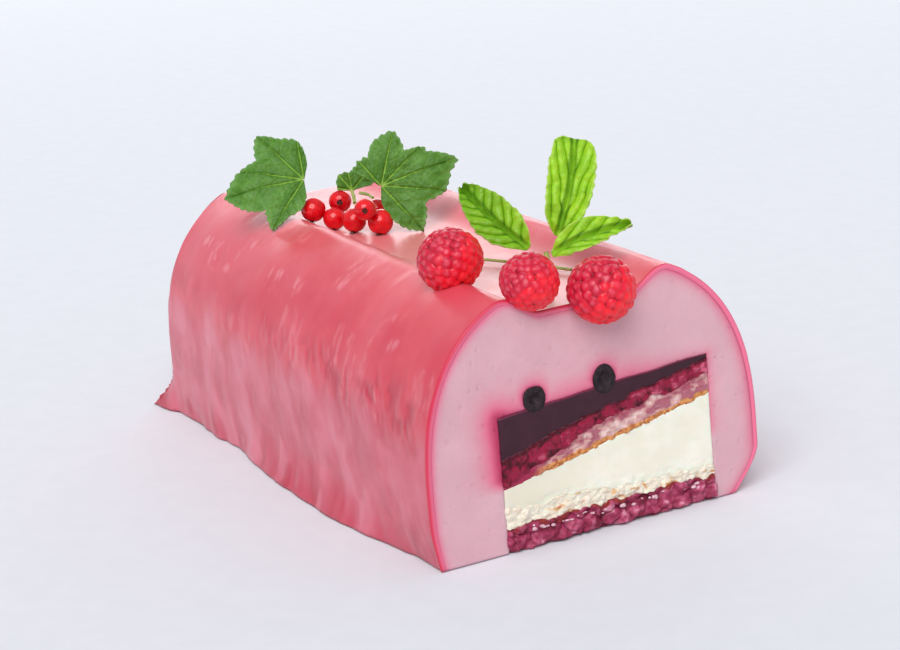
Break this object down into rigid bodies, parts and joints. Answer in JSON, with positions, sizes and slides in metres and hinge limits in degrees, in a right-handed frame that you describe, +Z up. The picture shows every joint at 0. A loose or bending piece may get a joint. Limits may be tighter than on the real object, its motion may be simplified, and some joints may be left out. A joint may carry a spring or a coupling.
{
  "type": "yule log cake",
  "caption": "Glazed raspberry mousse log cake cut at one end to show its layered insert, with berries and leaves along a shallow trough on its crown.",
  "frame": {"origin": "middle of the cake's flat underside", "axes": "+X along the log towards the cut face, +Z up, -Y the long side at the left of the cut face"},
  "size_m": [0.2138, 0.109, 0.1001],
  "materials": {
    "raspberry_glaze": "smooth wet mirror glaze with soft ripples",
    "raspberry_mousse": "satin pale pink mousse, stained deeper pink beside the jelly and the glaze",
    "dark_jelly": "smooth dark purple fruit jelly",
    "raspberry_compote": "lumpy crimson fruit",
    "pink_sponge": "open pale pink crumb with a golden skin underneath",
    "vanilla_cream": "smooth ivory cream, a little torn by the knife",
    "crisp_crumb": "pale lumpy crumb with golden pieces",
    "raspberry_crumble": "coarse mauve crimson crumble",
    "dark_berry": "near black berry flesh",
    "raspberry_fruit": "juicy red drupelets with a faint bloom",
    "redcurrant_fruit": "clear glossy red skin",
    "currant_leaf": "mid green leaf with pale veins",
    "mint_leaf": "bright yellow green pleated leaf",
    "green_stem": "thin green stalk"
  },
  "bodies": {
    "root": {"glaze": "raspberry_glaze", "mousse": "raspberry_mousse", "jelly": "dark_jelly", "compote": "raspberry_compote", "sponge": "pink_sponge", "cream": "vanilla_cream", "crisp": "crisp_crumb", "crumble_base": "raspberry_crumble", "bilberry_left": "dark_berry", "bilberry_right": "dark_berry", "raspberry_back": "raspberry_fruit", "raspberry_middle": "raspberry_fruit", "raspberry_front": "raspberry_fruit", "currant_1": "redcurrant_fruit", "currant_2": "redcurrant_fruit", "currant_3": "redcurrant_fruit", "currant_4": "redcurrant_fruit", "currant_5": "redcurrant_fruit", "currant_6": "redcurrant_fruit", "currant_7": "redcurrant_fruit", "currant_stalk": "green_stem", "currant_side_stalk": "green_stem", "currant_leaf_left": "currant_leaf", "currant_leaf_right": "currant_leaf", "currant_leaf_small": "currant_leaf", "mint_leaf_left": "mint_leaf", "mint_leaf_upright": "mint_leaf", "mint_leaf_right": "mint_leaf", "mint_stem": "green_stem", "twig": "green_stem"}
  },
  "joints": []
}
